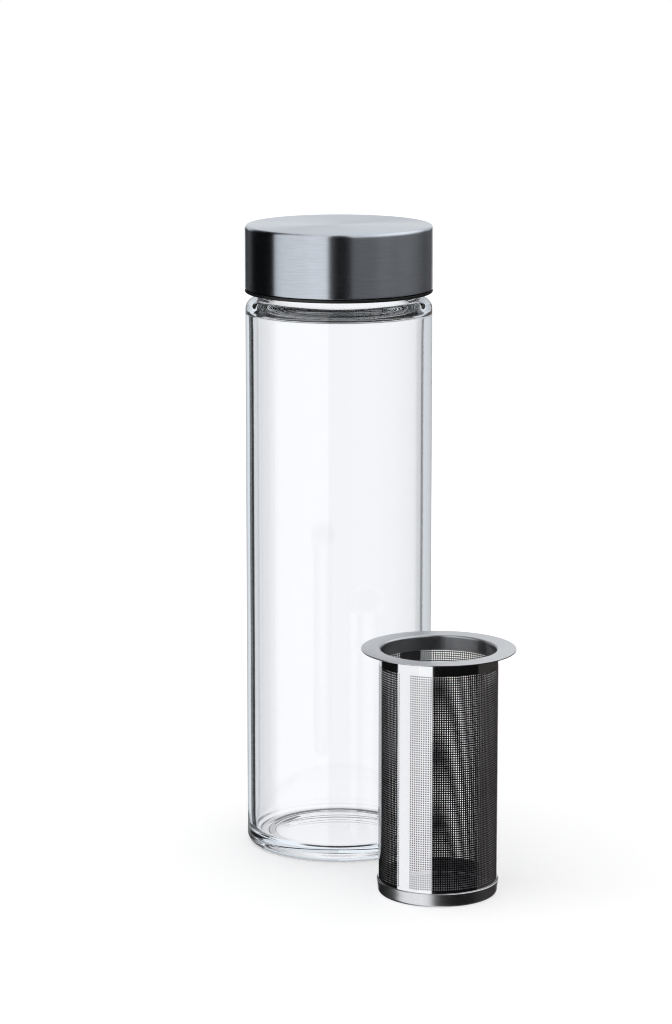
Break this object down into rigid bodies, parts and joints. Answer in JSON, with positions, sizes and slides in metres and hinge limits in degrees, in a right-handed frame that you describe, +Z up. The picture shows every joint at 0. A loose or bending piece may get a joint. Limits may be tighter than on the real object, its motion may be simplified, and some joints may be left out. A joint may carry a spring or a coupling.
{
  "type": "tea infuser bottle",
  "caption": "Tall clear glass tea bottle with a screw-on steel lid, shown with its flanged perforated steel infuser basket standing beside it.",
  "frame": {"origin": "on the table, at the centre of the footprint of the bottle and the infuser together", "axes": "+Z up along the bottle's axis, +X to the right and +Y away from the picture's camera"},
  "size_m": [0.0944, 0.1272, 0.2254],
  "materials": {
    "clear_glass": "clear, fire polished",
    "brushed_steel": "brushed round the side, spun on the top",
    "satin_steel": "satin",
    "polished_steel": "polished",
    "black_plastic": "moulded, satin",
    "silicone": "matt, translucent white"
  },
  "bodies": {
    "bottle": {"bottle_glass": "clear_glass"},
    "seal": {"lid_seal": "silicone"},
    "lid": {"lid_shell": "brushed_steel", "lid_insert": "black_plastic"},
    "infuser": {"infuser_rim": "satin_steel", "infuser_sleeve": "polished_steel", "infuser_base_ring": "polished_steel", "infuser_base_disc": "polished_steel"}
  },
  "joints": [
    {"name": "lid_rise", "type": "slide", "parent": "bottle", "child": "seal", "axis": [0, 0, 1], "range_m": [0, 0.024]},
    {"name": "lid_turn", "type": "hinge", "parent": "seal", "child": "lid", "pos_m": [-0.01375, 0.03005, 0.2014], "axis": [0, 0, 1], "range_deg": [0, 1080]},
    {"name": "infuser_lift", "type": "slide", "parent": "bottle", "child": "infuser", "axis": [0, 0, 1], "range_m": [0, 0.23]}
  ],
  "couplings": [
    {"joint": "lid_rise", "follows": "lid_turn", "m_per_rad": 0.0012732}
  ]
}
